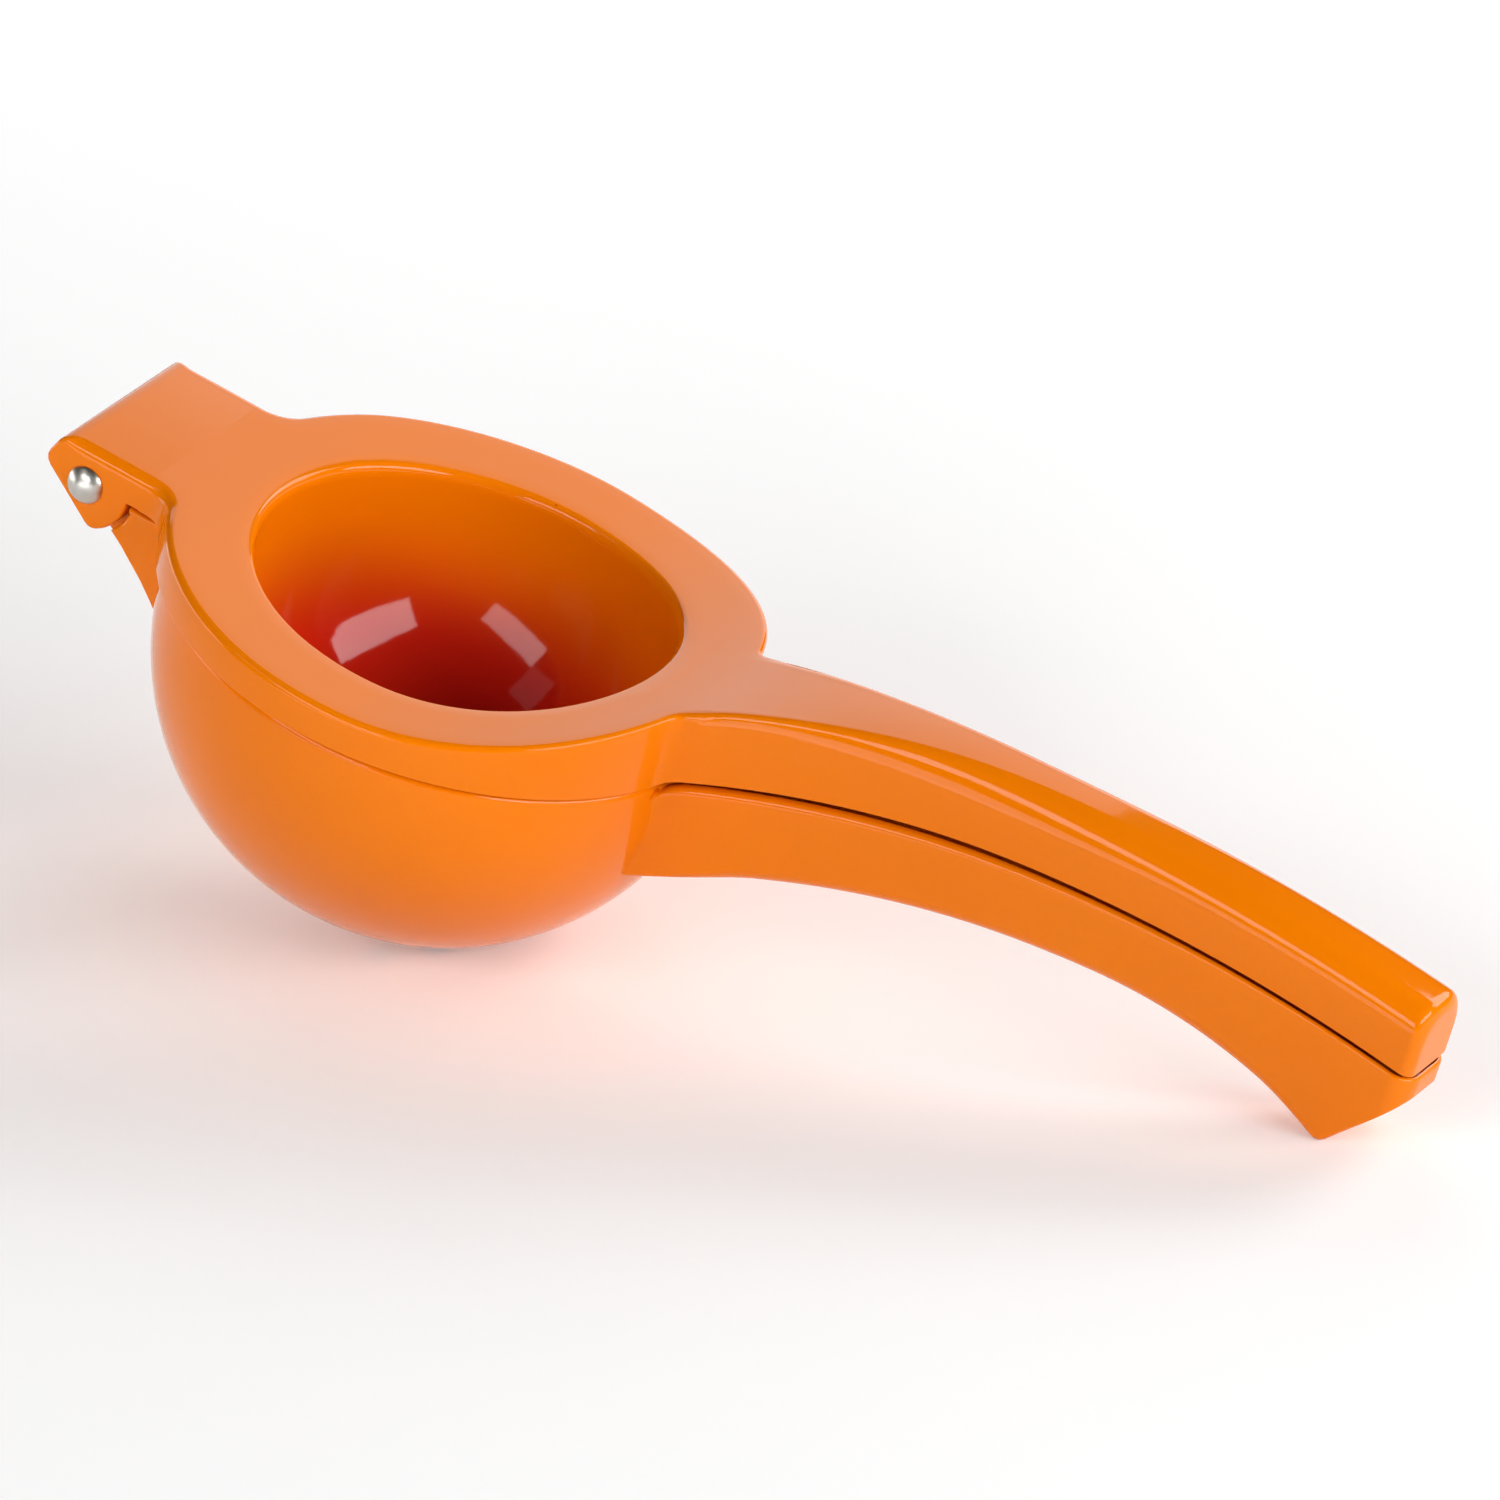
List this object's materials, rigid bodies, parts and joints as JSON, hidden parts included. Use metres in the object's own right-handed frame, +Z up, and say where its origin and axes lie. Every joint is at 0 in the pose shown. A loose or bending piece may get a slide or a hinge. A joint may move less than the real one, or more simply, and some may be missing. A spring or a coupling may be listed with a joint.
{
  "type": "citrus juicer",
  "caption": "Enamelled hand citrus squeezer: a pressing bowl on a long curved handle hinges down into a perforated cup that has a matching handle below.",
  "frame": {"origin": "the point where the round cup touches the table, in the middle plane of the levers", "axes": "+X from the cup towards the ends of the handles, +Y across to the side of the rivet's rolled tail, +Z up from the table"},
  "size_m": [0.241, 0.0964, 0.0789],
  "materials": {
    "orange_enamel": "gloss",
    "rivet_steel": "satin"
  },
  "bodies": {
    "cup": {"cup_lever": "orange_enamel"},
    "press": {"press_lever": "orange_enamel", "hinge_rivet": "rivet_steel"}
  },
  "joints": [
    {"name": "lever_hinge", "type": "hinge", "parent": "cup", "child": "press", "pos_m": [-0.05562, 0, 0.07084], "axis": [0, -1, 0], "range_deg": [0, 130]}
  ]
}
